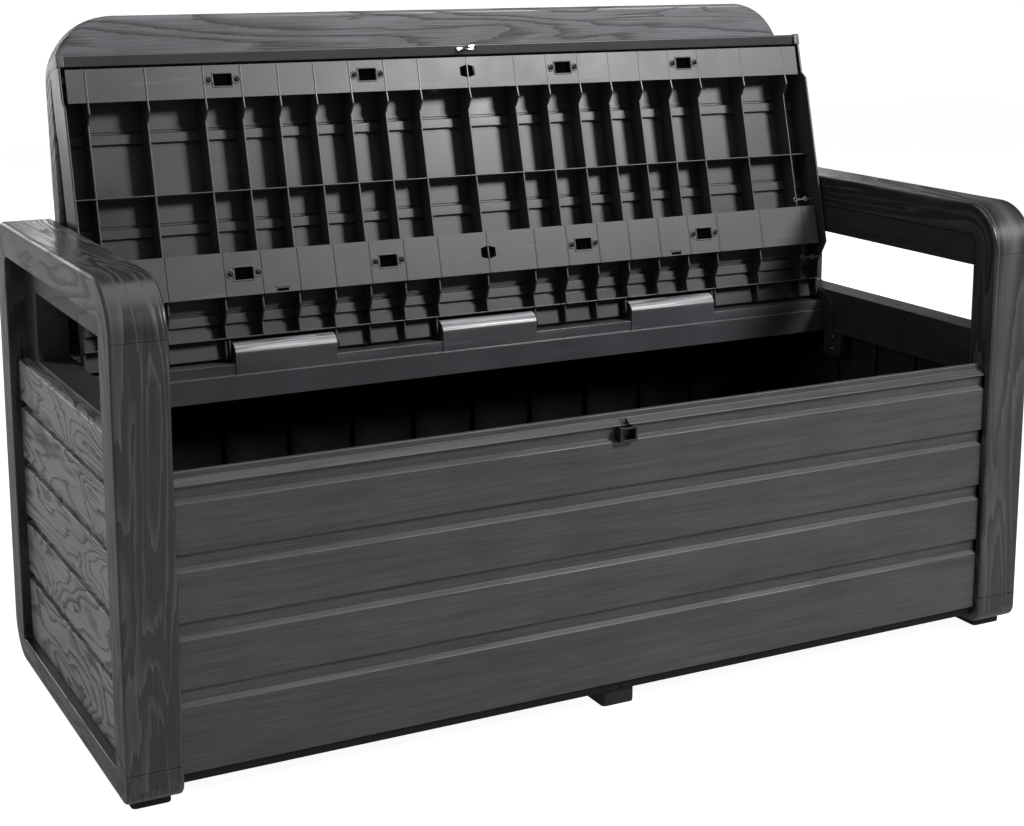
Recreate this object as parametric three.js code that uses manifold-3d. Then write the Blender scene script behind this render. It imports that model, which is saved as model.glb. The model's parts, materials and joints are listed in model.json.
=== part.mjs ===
// A storage bench with arms, a leaning back and a ribbed lid that hinges on a rear rail.
// Millimetres. X runs left to right, Y front to back, Z up from the floor.
// Y counts from the front faces of the arm posts until the last lines centre the bench.
import * as THREE from "three";
import { mergeVertices } from "three/addons/utils/BufferGeometryUtils.js";
import Module from "manifold-3d";

// Overall sizes
const benchWidth = 1380;
const sideDepth = 577;
const armHeight = 647;
const backHeight = 925;

// Side frames: one closed loop of four members on each end
const sideWidth = 71;
const postDepth = 48;
const rearMemberDepth = 49.5;
const armThickness = 47;
const sillThickness = 32.5;
const frontTopRadius = 69;
const rearTopRadius = 44.5;
const rearBottomRadius = 56.5;
const frontBottomRadius = 18;
const loopCornerRadius = 9;

// Panels inside each loop
const webRecess = 27;
const boardRecess = 13;
const boardPitch = 83.4;
const topBoardDrop = 62;
const grooveHeight = 12.5;
const grooveDepth = 7;
const grooveSlope = 1.2;
const ledgeHeight = 460.5;
const ledgeDrop = 8.5;
const armWebHeight = 43.5;
const rearWebDepth = 57.5;
const coverDrop = 67.5;
const wallRecess = 21;
const wallRibDepth = 6;
const wallRibWidth = 8;
const wallRibCount = 5;
const flangeHeight = 7;

// Front panel
const rimHeight = 413;
const rimLipHeight = 8;
const rimLipThickness = 7;
const rimBevelDepth = 10;
const rimBevelHeight = 7;
const rimStripHeight = 17;
const panelSetback = 10;
const panelThickness = 17;
const plankPitch = 84.8;
const plankHeight = 66.8;
const plankRelief = 5.5;
const plankBevel = 5;
const plankUnderBevel = 2;
const panelBottom = 36.5;

// Floor, back panel and feet
const footHeight = 12;
const footSize = 50;
const footSetback = 20;
const floorThickness = 12;
const backPanelSetback = 25;
const backPanelThickness = 12;
const backFlangeThickness = 11;
const backRibDepth = 8;
const backRibWidth = 34;
const backRibCount = 12;

// Hinge rail, its blocks and the pins
const hingeSetback = 155;
const hingeDrop = 7.5;
const railFrontReach = 19.4;
const blockReach = 17;
const railFaceHeight = 35;
const railStepDepth = 4;
const railStepHeight = 15.4;
const railRearLift = 9;
const railWall = 4;
const barrelClearance = 4.5;
const railBackReach = 16;
const pinRadius = 5;
const pinClearance = 0.3;
const pinEngagement = 8;
const tabClearance = 2.4;
const railEndGap = 4;
const endPlateThickness = 3.5;
const endPlateRadius = 40;
const endPlateReach = 29;
const bracketWidth = 44;
const bracketHeight = 38;
const bracketScrewDrop = 8;
const bracketScrewRise = 10;
const endPlateRearReach = 32;

// Lid
const lidLean = THREE.MathUtils.degToRad(14.58);
const lidSideGap = 5;
const lidOverhang = 3.5;
const lidDepth = 46.5;
const skinThickness = 3;
const skinGroove = 3.5;
const topGrooveWidth = 12;
const ridgeWidth = 18;
const ridgeReaches = [50, 181, 313];
const lidWall = 3;
const ribThickness = 2.4;
const lipDepth = 15.5;
const lipSlope = 4.5;
const lipGap = 4;
const lidRearReach = 20.8;
const frontBandWidth = 47;
const middleRibReach = 228;
const lowRibTip = -14;
const tabReach = 6;
const tabWall = 3;
const knuckleTip = -9;
// Free edges of ribs and end walls: heights over the hinge axis, and reaches where they step
const ribTip = -29;
const ribHeelTip = -16;
const ribHeel = [41, 60];
const ribToeTip = -42;
const ribToe = [330, 343];
const wallTip = -49;
const wallHeelTip = -18;
const wallHeel = [41, 52];
const wallToe = [351, 362];
const rearBandNear = 78.5;
const rearBandWidth = 62.5;
const bandThickness = 3;
const bandEndGap = 6;
const windowLength = 27;
const windowHeight = 17;
const hexHalfWidth = 12;
const hexHalfHeight = 10;
const hexSideHeight = 6.5;
const lidScrewSpacing = 20.5;
const bossRadius = 4;
// Widths of the cells between ribs from the middle outwards, in units of a narrow cell
const cellPattern = [1.46, 1, 1, 1, 1, 1, 1, 1.507, 1.507, 0.594];

// Back rest
const backSlope = 0.09;
const backThickness = 51;
const backFrontShell = 30;
const backCornerRadius = 92;
const backSideGap = 7;
const backBottomGap = 1;
const backRebate = 3;

// Lock
const lockWidth = 26;
const lockHeight = 20.5;
const lockWall = 3;
const lockProtrusion = 9.3;
const lockSlotWidth = 12;
const stapleInset = 7.5;
const stapleReach = 23;
const stapleWidth = 9;
const stapleWire = 2.4;
const stapleBaseLength = 27;
const stapleBaseWidth = 3.4;
const stapleBaseThickness = 1.3;

// Screws and fitting
const screwHeadRadius = 3.4;
const screwHeadHeight = 1.6;
const screwRadius = 1.6;
const screwLength = 8;
const holeClearance = 0.35;
const gap = 0.3;

// Values worked out from the sizes above
const halfWidth = benchWidth / 2;
const sideInner = halfWidth - sideWidth;
const loopTop = armHeight - armThickness;
const loopBottom = footHeight + sillThickness;
const loopRear = sideDepth - rearMemberDepth;
const webOuter = halfWidth - webRecess;
const boardOuter = halfWidth - boardRecess;
const coverBottom = ledgeHeight - coverDrop;
const wallInner = sideInner + wallRecess;
const hingeY = sideDepth - hingeSetback;
const hingeZ = ledgeHeight - hingeDrop;
const railFrontY = hingeY - railFrontReach;
const railTop = hingeZ - hingeDrop - barrelClearance;
const railFaceTop = railTop - railStepHeight;
const railBottom = railFaceTop - railFaceHeight;
const railBackY = hingeY + railBackReach;
const lidHalf = sideInner - lidSideGap;
const lidLength = hingeY + lidOverhang;
const lidTip = hingeDrop - lidDepth;
const bandTop = lidTip + bandThickness;
const bandHalf = lidHalf - lidWall - bandEndGap;
const lipNear = lidLength - lipDepth;
const frontBandFar = lipNear - lipGap;
const frontBandNear = frontBandFar - frontBandWidth;
const rearBandFar = rearBandNear + rearBandWidth;
const stapleU = lidLength - stapleInset;
const cellUnit = (lidHalf - lidWall) / cellPattern.reduce((sum, cell) => sum + cell, 0);
const ribPlaces = cellPattern.slice(0, -1).reduce(
  (places, cell) => [...places, places[places.length - 1] + cell * cellUnit],
  [0],
);
const centreBlockEdge = ribPlaces[1] - 1.6;
const outerBlock = [ribPlaces[4] + 1.8, ribPlaces[7] - 9.8];
const windowPlaces = [-1, 1].flatMap((side) => [
  (side * (ribPlaces[2] + ribPlaces[3])) / 2,
  (side * (ribPlaces[6] + ribPlaces[7])) / 2,
]);
const bandCentres = {
  front: (frontBandNear + lipNear) / 2,
  middle: (rearBandNear + rearBandFar) / 2,
};
const panelTop = rimHeight - rimLipHeight - rimBevelHeight;
const lockTop = panelTop - 1.5;
const lockBottom = lockTop - lockHeight;
const railHalf = lidHalf + lidSideGap - railEndGap;
const endPlateOuter = sideInner - gap;
const endPlateFront = railFrontY - endPlateReach;
const bracketScrewPlaces = [
  [endPlateFront, coverBottom - bracketScrewDrop],
  [endPlateFront, coverBottom - bracketHeight + bracketScrewRise],
];
const backFlangeDrop = 9.5;
const backBottom = ledgeHeight - backFlangeDrop + backBottomGap;

const wasm = await Module();
wasm.setup();

// A manifold solid from a closed geometry, and a plain geometry back from a solid
function solidOf(geometry) {
  const bare = geometry.clone();
  bare.deleteAttribute("normal");
  bare.deleteAttribute("uv");
  const merged = mergeVertices(bare, 1e-4);
  return new wasm.Manifold(
    new wasm.Mesh({
      numProp: 3,
      vertProperties: merged.attributes.position.array,
      triVerts: new Uint32Array(merged.index.array),
    }),
  );
}

function geometryOf(solid) {
  const mesh = solid.getMesh();
  const geometry = new THREE.BufferGeometry();
  geometry.setAttribute("position", new THREE.BufferAttribute(mesh.vertProperties, 3));
  geometry.setIndex(new THREE.BufferAttribute(mesh.triVerts, 1));
  const flat = geometry.toNonIndexed();
  flat.computeVertexNormals();
  return flat;
}

const join = (solids) => solids.reduce((sum, next) => sum.add(next));
const cut = (solid, tools) => tools.reduce((rest, tool) => rest.subtract(tool), solid);

// Each outline is a list of [a, b] or [a, b, corner radius] points, anticlockwise
function roundedPoints(corners, steps = 8) {
  const points = [];
  corners.forEach(([a, b, radius = 0], i) => {
    const here = new THREE.Vector2(a, b);
    if (radius <= 0) {
      points.push(here);
      return;
    }
    const last = corners[(i + corners.length - 1) % corners.length];
    const next = corners[(i + 1) % corners.length];
    const back = new THREE.Vector2(last[0], last[1]).sub(here).normalize();
    const ahead = new THREE.Vector2(next[0], next[1]).sub(here).normalize();
    const half = Math.acos(THREE.MathUtils.clamp(back.dot(ahead), -1, 1)) / 2;
    const middle = back.clone().add(ahead).normalize().multiplyScalar(radius / Math.sin(half));
    const centre = here.clone().add(middle);
    const start = here.clone().addScaledVector(back, radius / Math.tan(half)).sub(centre);
    const end = here.clone().addScaledVector(ahead, radius / Math.tan(half)).sub(centre);
    const from = start.angle();
    let sweep = end.angle() - from;
    if (sweep > Math.PI) sweep -= 2 * Math.PI;
    if (sweep < -Math.PI) sweep += 2 * Math.PI;
    for (let k = 0; k <= steps; k += 1) {
      const angle = from + (sweep * k) / steps;
      points.push(new THREE.Vector2(Math.cos(angle), Math.sin(angle)).multiplyScalar(radius).add(centre));
    }
  });
  return points;
}

function prism(corners, length, steps) {
  const shape = new THREE.Shape(roundedPoints(corners, steps));
  return new THREE.ExtrudeGeometry(shape, { depth: length, bevelEnabled: false });
}

// A (Y, Z) outline carried from x0 to x1
function alongX(corners, x0, x1, steps) {
  const turn = new THREE.Matrix4().makeBasis(
    new THREE.Vector3(0, 1, 0),
    new THREE.Vector3(0, 0, 1),
    new THREE.Vector3(1, 0, 0),
  );
  return solidOf(prism(corners, x1 - x0, steps).applyMatrix4(turn).translate(x0, 0, 0));
}

// An (X, Z) outline carried from y0 to y1
function alongY(corners, y0, y1, steps) {
  const turn = new THREE.Matrix4().makeBasis(
    new THREE.Vector3(1, 0, 0),
    new THREE.Vector3(0, 0, 1),
    new THREE.Vector3(0, -1, 0),
  );
  return solidOf(prism(corners, y1 - y0, steps).applyMatrix4(turn).translate(0, y1, 0));
}

function box(x0, x1, y0, y1, z0, z1) {
  const geometry = new THREE.BoxGeometry(x1 - x0, y1 - y0, z1 - z0);
  return solidOf(geometry.translate((x0 + x1) / 2, (y0 + y1) / 2, (z0 + z1) / 2));
}

function rodX(radius, x0, x1, y, z, sides = 20) {
  const rod = new THREE.CylinderGeometry(radius, radius, x1 - x0, sides);
  return solidOf(rod.rotateZ(Math.PI / 2).translate((x0 + x1) / 2, y, z));
}

function rodZ(radius, x, y, z0, z1, sides = 10) {
  const rod = new THREE.CylinderGeometry(radius, radius, z1 - z0, sides);
  return solidOf(rod.rotateX(Math.PI / 2).translate(x, y, (z0 + z1) / 2));
}

const colours = {
  frame: 0x3c3c3e,
  board: 0x6e6f71,
  web: 0x38383a,
  panel: 0x4c4c4e,
  lid: 0x505053,
  band: 0x5c5c60,
  inside: 0x2c2c2e,
  foot: 0x141415,
  lock: 0x1b1b1c,
  steel: 0xc9cbce,
};

const bench = new THREE.Group();
const lid = new THREE.Group();
bench.add(lid);

function addPart(group, name, solid, colour, metalness = 0, roughness = 0.55) {
  const material = new THREE.MeshStandardMaterial({ color: colour, metalness, roughness });
  const mesh = new THREE.Mesh(geometryOf(solid), material);
  mesh.name = name;
  group.add(mesh);
  return mesh;
}

// The right-hand piece as made, and its mirror image on the left
function addPair(name, solid, colour, metalness, roughness) {
  addPart(bench, name + "_right", solid, colour, metalness, roughness);
  addPart(bench, name + "_left", solid, colour, metalness, roughness).scale.x = -1;
}

// --- Sides ---

function sideFrame() {
  const outer = [
    [0, footHeight, frontBottomRadius],
    [sideDepth, footHeight, rearBottomRadius],
    [sideDepth, armHeight, rearTopRadius],
    [0, armHeight, frontTopRadius],
  ];
  const body = alongX(outer, sideInner, halfWidth, 10);
  return cut(body, [insideLoop(0, sideInner - 1, halfWidth + 1)]);
}

// The space inside a loop, drawn in by a clearance
function insideLoop(inset, x0, x1) {
  const round = loopCornerRadius - inset;
  const outline = [
    [postDepth + inset, loopBottom + inset, round],
    [loopRear - inset, loopBottom + inset, round],
    [loopRear - inset, loopTop - inset, round],
    [postDepth + inset, loopTop - inset, round],
  ];
  return alongX(outline, x0, x1, 4);
}

// Inner wall of a side: covers the bay and leaves the hand opening under the arm
function sideWeb() {
  const hand = [
    [postDepth - 5, ledgeHeight],
    [loopRear - rearWebDepth, ledgeHeight, 4],
    [loopRear - rearWebDepth, loopTop - armWebHeight, 4],
    [postDepth - 5, loopTop - armWebHeight],
  ];
  const bay = [
    [postDepth + 4, loopBottom + flangeHeight],
    [loopRear - 4, loopBottom + flangeHeight],
    [loopRear - 4, coverBottom],
    [postDepth + 4, coverBottom],
  ];
  const wall = cut(insideLoop(gap, sideInner, webOuter), [
    alongX(hand, sideInner - 1, webOuter + 1, 3),
    alongX(bay, sideInner - 1, wallInner),
  ]);
  const span = loopRear - postDepth;
  const ribs = Array.from({ length: wallRibCount }, (_, i) => {
    const y = postDepth + (span * (i + 0.5)) / wallRibCount;
    const low = loopBottom + 3;
    return box(wallInner - wallRibDepth, wallInner + 1, y - wallRibWidth / 2,
      y + wallRibWidth / 2, low, coverBottom + 3);
  });
  const pad = box(sideInner, wallInner + 1, endPlateFront - bracketWidth / 2,
    endPlateFront + bracketWidth / 2, coverBottom - bracketHeight, coverBottom + 3);
  return cut(join([wall, ...ribs, pad]), bracketScrewPlaces.map(([y, z]) =>
    rodX(screwRadius + holeClearance, sideInner - 1, sideInner + screwLength + 1, y, z, 10)));
}

// Lapped boards on the outside of a side, under a ledge that sheds water outwards
function sideBoards() {
  const inner = webOuter + gap;
  const back = boardOuter - grooveDepth;
  const ledge = ledgeHeight - ledgeDrop;
  const slope = (ledgeDrop * (inner - sideInner)) / (boardOuter - sideInner);
  const outline = [[inner, loopBottom + gap], [boardOuter, loopBottom + gap]];
  const firstGroove = ledge - topBoardDrop;
  const grooves = Math.floor((firstGroove - loopBottom - grooveHeight) / boardPitch);
  for (let i = grooves; i >= 0; i -= 1) {
    const middle = firstGroove - i * boardPitch;
    outline.push([boardOuter, middle - grooveHeight / 2]);
    outline.push([back, middle - grooveHeight / 2 + grooveSlope]);
    outline.push([back, middle + grooveHeight / 2 - grooveSlope]);
    outline.push([boardOuter, middle + grooveHeight / 2]);
  }
  outline.push([boardOuter, ledge]);
  outline.push([inner, ledgeHeight - slope]);
  const boards = alongY(outline, postDepth + gap, loopRear - gap);
  return boards.intersect(insideLoop(gap, inner - 1, halfWidth));
}

// --- Bay ---

function frontPanel() {
  const face = panelSetback;
  const low = face + plankRelief;
  const back = face + panelThickness;
  const outline = [[back, panelBottom], [back, rimHeight], [back - rimLipThickness, rimHeight]];
  outline.push([face + rimBevelDepth, panelTop + rimBevelHeight]);
  outline.push([face, panelTop]);
  outline.push([face, panelTop - 1.5]);
  outline.push([low, panelTop - 1.5]);
  const plankTop = panelTop - rimStripHeight;
  const planks = Math.max(1, Math.round((plankTop - panelBottom) / plankPitch));
  for (let i = 0; i < planks; i += 1) {
    const top = plankTop - i * plankPitch;
    const bottom = i < planks - 1 ? top - plankHeight : panelBottom;
    outline.push([low, top]);
    outline.push([face, top - plankBevel]);
    if (i < planks - 1) {
      outline.push([face, bottom]);
      outline.push([low, bottom - plankUnderBevel]);
    } else {
      outline.push([face, bottom]);
    }
  }
  const body = alongX(outline, -sideInner + gap, sideInner - gap);
  const half = lockWidth / 2 + gap;
  return cut(body, [
    box(-half, half, face - 1, face + plankRelief + 1, lockBottom - gap, lockTop + gap),
    box(-lockSlotWidth / 2, lockSlotWidth / 2, face - 1, face + rimBevelDepth - 0.5,
      lockTop - 1, rimHeight + 1),
  ]);
}

function backPanel() {
  const outerY = sideDepth - backPanelSetback;
  const faceY = outerY - backPanelThickness;
  const half = sideInner - gap;
  const bottom = footHeight + floorThickness;
  const flangeTop = ledgeHeight - backFlangeDrop;
  const flangeY = backFrontAt(flangeTop) - 1;
  const panel = box(-half, half, faceY, outerY, bottom, flangeTop);
  const flange = box(-half, half, flangeY, outerY, flangeTop - backFlangeThickness, flangeTop);
  const ribs = Array.from({ length: backRibCount }, (_, i) => {
    const x = -half + ((i + 0.5) * 2 * half) / backRibCount;
    return box(x - backRibWidth / 2, x + backRibWidth / 2, faceY - backRibDepth, faceY + 1,
      bottom + floorThickness + 4, flangeTop - 1);
  });
  return join([panel, flange, ...ribs]);
}

function floorPanel() {
  const bottom = footHeight + floorThickness;
  const front = panelSetback + plankRelief;
  const rear = sideDepth - backPanelSetback - backPanelThickness - gap;
  const slab = box(gap / 2, sideInner - gap, front, rear, bottom, bottom + floorThickness);
  const width = sideInner - gap;
  const ribs = [0.25, 0.5, 0.75].map((share) =>
    box(width * share - 5, width * share + 5, front + 20, rear - 20, bottom - 6, bottom + 1));
  return join([slab, ...ribs]);
}

function foot(x, y, top) {
  const half = footSize / 2;
  const corners = [
    [x - half, y - half, 6],
    [x + half, y - half, 6],
    [x + half, y + half, 6],
    [x - half, y + half, 6],
  ];
  return solidOf(prism(corners, top, 3));
}

// --- Hinge rail ---

function hingeRail() {
  const deckRear = backFrontAt(ledgeHeight) - 3;
  const deck = ledgeHeight - railWall;
  const outline = [
    [railFrontY, railBottom],
    [railFrontY + railWall, railBottom],
    [railFrontY + railWall, railFaceTop - railWall],
    [railFrontY + railStepDepth + railWall, railFaceTop - railWall],
    [railFrontY + railStepDepth + railWall, railTop - railWall],
    [railBackY, railTop - railWall],
    [railBackY, railBottom + railRearLift],
    [railBackY + railWall, railBottom + railRearLift],
    [railBackY + railWall, deck],
    [deckRear, deck],
    [deckRear, ledgeHeight],
    [railBackY, ledgeHeight],
    [railBackY, railTop],
    [railFrontY + railStepDepth, railTop],
    [railFrontY + railStepDepth, railFaceTop],
    [railFrontY, railFaceTop],
  ];
  const rail = alongX(outline, -railHalf, railHalf);
  const round = Array.from({ length: 7 }, (_, i) => {
    const angle = Math.PI / 2 + (Math.PI * i) / 12;
    return [hingeY + blockReach * Math.cos(angle), hingeZ + blockReach * Math.sin(angle)];
  });
  const block = [
    [railBackY + railWall, ledgeHeight],
    ...round,
    [hingeY - blockReach, railFaceTop - 1],
    [railBackY + railWall, railFaceTop - 1],
  ];
  const spans = blockSpans();
  const bore = rodX(pinRadius + pinClearance, -railHalf, railHalf, hingeY, hingeZ);
  const blocks = spans.map(([x0, x1]) => alongX(block, x0, x1));
  return cut(join([rail, ...blocks]), [bore]);
}

function blockSpans() {
  const [near, far] = outerBlock;
  return [[-centreBlockEdge, centreBlockEdge], [near, far], [-far, -near]];
}

function tabSpans() {
  const [near, far] = outerBlock;
  const inner = [centreBlockEdge + tabClearance, near - tabClearance];
  const outer = [far + tabClearance, lidHalf];
  return [inner, outer].flatMap(([a, b]) => [[a, b], [-b, -a]]);
}

// End plate between rail and side wall, with a screwed tab hanging below it
function endPlate() {
  const rear = railBackY + endPlateRearReach;
  const top = ledgeHeight - 1;
  const tabBottom = coverBottom - bracketHeight;
  const outline = [
    [endPlateFront - bracketWidth / 2, tabBottom, 4],
    [endPlateFront + bracketWidth / 2, tabBottom, 4],
    [endPlateFront + bracketWidth / 2, railBottom + 2],
    [rear, railBottom + 2],
    [rear, top],
    [endPlateFront, top, endPlateRadius],
    [endPlateFront, coverBottom + 3],
    [endPlateFront - bracketWidth / 2, coverBottom + 3],
  ];
  const plate = alongX(outline, endPlateOuter - endPlateThickness, endPlateOuter, 7);
  return cut(plate, bracketScrewPlaces.map(([y, z]) =>
    rodX(screwRadius + holeClearance, endPlateOuter - endPlateThickness - 1, endPlateOuter + 1, y, z, 10)));
}

// A pan-head screw in X: its head stands inwards of the end plate
function bracketScrew(y, z) {
  const seat = endPlateOuter - endPlateThickness - gap / 2;
  const head = rodX(screwHeadRadius, seat - screwHeadHeight, seat, y, z, 12);
  return join([head, rodX(screwRadius, seat - 0.5, sideInner + screwLength, y, z, 8)]);
}

// --- Lid, built closed round the hinge axis: Y is minus the reach, Z is zero at the axis ---

function lidSkin() {
  const under = hingeDrop - skinThickness;
  const half = ridgeWidth / 2;
  const ridges = ridgeReaches.flatMap((middle) => [
    [middle - half - 1, under],
    [middle - half, under - skinGroove],
    [middle + half, under - skinGroove],
    [middle + half + 1, under],
  ]);
  const outline = [
    [lidRearReach, under],
    ...ridges,
    [lidLength - 1, under],
    [lidLength - 1, hingeDrop],
    [lidRearReach, hingeDrop],
  ];
  return alongX(outline.map(([u, v]) => [-u, v]).reverse(), -lidHalf, lidHalf);
}

// The grooves that part the seat into planks, cut from above
function lidGroove(middle) {
  const half = topGrooveWidth / 2;
  const outline = [
    [-middle - half + 2, hingeDrop - skinGroove],
    [-middle + half - 2, hingeDrop - skinGroove],
    [-middle + half + 1, hingeDrop + 1],
    [-middle - half - 1, hingeDrop + 1],
  ];
  return alongX(outline, -lidHalf - 1, lidHalf + 1);
}

// Closes a side outline of the lid from its rear edge up under the skin
function lidOutline(freeEdge) {
  const outline = [...freeEdge, [lidRearReach, hingeDrop - 1]];
  return outline.map(([u, v]) => [-u, v]).reverse();
}

// A long rib has a heel near the hinge and a toe beside the front band, and carries both bands
function ribOutline() {
  const seat = bandTop + gap;
  return lidOutline([
    [lidRearReach, ribHeelTip],
    [ribHeel[0], ribHeelTip],
    [ribHeel[1], ribTip],
    [rearBandNear - gap, ribTip],
    [rearBandNear - gap, seat],
    [rearBandFar + gap, seat],
    [rearBandFar + gap, ribTip],
    [ribToe[0], ribTip],
    [ribToe[1], ribToeTip],
    [frontBandNear - gap, lidTip],
    [frontBandNear - gap, seat],
    [frontBandFar, seat],
    [frontBandFar, hingeDrop - 1],
  ]);
}

// An end wall is deepest from the middle band to a step beside the front band
function wallOutline() {
  return lidOutline([
    [lidRearReach, ribHeelTip],
    [wallHeel[0], wallHeelTip],
    [wallHeel[1], wallHeelTip - 5],
    [rearBandNear, wallTip],
    [wallToe[0], wallTip],
    [wallToe[1], lidTip],
    [lipNear + 1, lidTip],
    [lipNear + 1, hingeDrop - 1],
  ]);
}

// The skin runs on behind the hinge axis, and thin knuckles below it turn on the pin
function lidTab([x0, x1]) {
  const plate = box(x0, x1, -lidRearReach - 2, tabReach, hingeDrop - skinThickness, hingeDrop);
  const round = Array.from({ length: 13 }, (_, i) => {
    const angle = Math.PI / 2 - (Math.PI * i) / 12;
    return [-hingeDrop * Math.cos(angle), hingeDrop * Math.sin(angle)];
  });
  const knuckle = [[lidRearReach + 1, hingeDrop], ...round, [lidRearReach + 1, knuckleTip]]
    .map(([u, v]) => [-u, v]);
  const inside = ribPlaces.flatMap((x) => [x, -x]).filter((x) => x > x0 + tabWall && x < x1 - tabWall);
  const starts = [x0, x1 - tabWall, ...inside.map((x) => x - ribThickness / 2)];
  const walls = [tabWall, tabWall, ...inside.map(() => ribThickness)];
  return join([plate, ...starts.map((x, i) => alongX(knuckle, x, x + walls[i]))]);
}

function lidPanel() {
  const wall = (x0, x1) => alongX(wallOutline(), x0, x1);
  const ribs = ribPlaces.flatMap((x) => (x > 0 ? [x, -x] : [x])).map((x) =>
    alongX(ribOutline(), x - ribThickness / 2, x + ribThickness / 2));
  const crossRib = (u, tip) => box(-lidHalf + 1, lidHalf - 1, -u - ribThickness / 2, -u + ribThickness / 2,
    tip, hingeDrop - 1);
  const lip = alongX([[-lidLength, lidTip], [-lipNear, lidTip + lipSlope], [-lipNear, hingeDrop],
    [-lidLength, hingeDrop]], -lidHalf, lidHalf);
  const bosses = lidScrewPlaces().map(([x, u]) => rodZ(bossRadius, x, -u, bandTop + gap, hingeDrop - 1, 8));
  const body = join([
    lidSkin(),
    wall(-lidHalf, -lidHalf + lidWall),
    wall(lidHalf - lidWall, lidHalf),
    ...ribs,
    crossRib(middleRibReach, ribTip),
    crossRib(lidRearReach + ribThickness / 2, lowRibTip),
    lip,
    ...tabSpans().map(lidTab),
    ...bosses,
  ]);
  const bore = rodX(pinRadius + pinClearance, -lidHalf - 1, lidHalf + 1, 0, 0);
  const holes = lidScrewPlaces().map(([x, u]) =>
    rodZ(screwRadius + holeClearance, x, -u, lidTip - 1, lidTip + screwLength + 1, 6));
  return cut(body, [bore, ...holes, ...ridgeReaches.map(lidGroove)]);
}

function lidScrewPlaces() {
  return Object.values(bandCentres).flatMap((u) =>
    windowPlaces.flatMap((x) => [[x - lidScrewSpacing, u], [x + lidScrewSpacing, u]]));
}

// A flat stiffener across the rib tips, with windows between pairs of screws
function lidBand(near, far, centre) {
  const plate = box(-bandHalf, bandHalf, -far + gap, -near - gap, lidTip, bandTop);
  const windows = windowPlaces.map((x) =>
    box(x - windowLength / 2, x + windowLength / 2, -centre - windowHeight / 2,
      -centre + windowHeight / 2, lidTip - 1, bandTop + 1));
  const hexCorners = [
    [-hexHalfWidth, -hexSideHeight],
    [0, -hexHalfHeight],
    [hexHalfWidth, -hexSideHeight],
    [hexHalfWidth, hexSideHeight],
    [0, hexHalfHeight],
    [-hexHalfWidth, hexSideHeight],
  ];
  const hex = solidOf(prism(hexCorners, bandThickness + 2).translate(0, -centre, lidTip - 1));
  const holes = lidScrewPlaces().filter(([, u]) => u === centre).map(([x, u]) =>
    rodZ(screwRadius + holeClearance, x, -u, lidTip - 1, bandTop + 1, 8));
  return cut(plate, [...windows, hex, ...holes]);
}

function lidScrew([x, u]) {
  const seat = lidTip - gap / 2;
  const head = rodZ(screwHeadRadius, x, -u, seat - screwHeadHeight, seat, 12);
  return join([head, rodZ(screwRadius, x, -u, seat - 0.5, lidTip + screwLength, 6)]);
}

function lockStaple() {
  const seat = lidTip - gap / 2;
  const half = stapleWidth / 2;
  const plate = box(-stapleBaseLength / 2, stapleBaseLength / 2, -stapleU - stapleBaseWidth / 2,
    -stapleU + stapleBaseWidth / 2, seat - stapleBaseThickness, seat);
  const loop = box(-half, half, -stapleU - stapleWire / 2, -stapleU + stapleWire / 2,
    lidTip - stapleReach, seat - 0.5);
  const eye = box(-half + stapleWire, half - stapleWire, -stapleU - 4, -stapleU + 4,
    lidTip - stapleReach + stapleWire, seat - stapleBaseThickness - 2);
  return cut(join([plate, loop]), [eye]);
}

function lockHousing() {
  const half = lockWidth / 2;
  const front = panelSetback - lockProtrusion;
  const rear = panelSetback + plankRelief + 1 - gap;
  const body = box(-half, half, front, rear, lockBottom, lockTop);
  return cut(body, [
    box(-half + lockWall, half - lockWall, front - 1, rear - lockWall, lockBottom + lockWall,
      lockTop - lockWall),
    box(-lockSlotWidth / 2, lockSlotWidth / 2, front + 0.8, rear - lockWall,
      lockTop - lockWall - 1, lockTop + 1),
  ]);
}

// --- Back rest: two shells that lean back; the open lid rests against the front one ---

// Y of the back face of the open lid at a height
function openLidBackAt(z) {
  const along = (z - hingeZ + hingeDrop * Math.sin(lidLean)) / Math.cos(lidLean);
  return hingeY + along * Math.sin(lidLean) + hingeDrop * Math.cos(lidLean);
}

// Y of the back rest's front face at a height, just clear of the open lid's upper edge
function backFrontAt(z) {
  const lidTopCorner = hingeZ + lidLength * Math.cos(lidLean) - hingeDrop * Math.sin(lidLean);
  const touch = Math.min(lidTopCorner, backHeight);
  return openLidBackAt(touch) + 2 + (z - touch) * backSlope;
}

function backShell(y0, y1, inset) {
  const half = sideInner - backSideGap - inset;
  const lean = Math.atan(backSlope);
  const base = backBottom + backThickness * Math.sin(lean);
  const height = (backHeight - base) / Math.cos(lean) - inset;
  const radius = backCornerRadius - inset;
  const corners = [
    [-half, 0, 4],
    [half, 0, 4],
    [half, height, radius],
    [-half, height, radius],
  ];
  const turn = new THREE.Matrix4().makeRotationX(-lean);
  turn.setPosition(0, backFrontAt(base), base);
  const flat = alongY(corners, y0, y1, 12);
  return flat.transform(turn.toArray());
}

addPair("side_frame", sideFrame(), colours.frame);
addPair("side_web", sideWeb(), colours.web);
addPair("side_boards", sideBoards(), colours.board);
addPart(bench, "front_panel", frontPanel(), colours.panel);
addPart(bench, "back_panel", backPanel(), colours.inside);
addPair("floor_panel", floorPanel(), colours.inside);

const footX = (sideInner + halfWidth) / 2;
const rearFootY = sideDepth - rearBottomRadius - footSize / 2;
const sideFootTop = footHeight - gap;
const centreFootTop = footHeight + floorThickness - gap;
addPair("foot_front", foot(footX, footSetback + footSize / 2, sideFootTop), colours.foot, 0, 0.8);
addPair("foot_rear", foot(footX, rearFootY, sideFootTop), colours.foot, 0, 0.8);
addPart(bench, "foot_centre_front", foot(0, footSetback + footSize / 2, centreFootTop), colours.foot, 0, 0.8);
addPart(bench, "foot_centre_rear", foot(0, rearFootY, centreFootTop), colours.foot, 0, 0.8);

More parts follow.
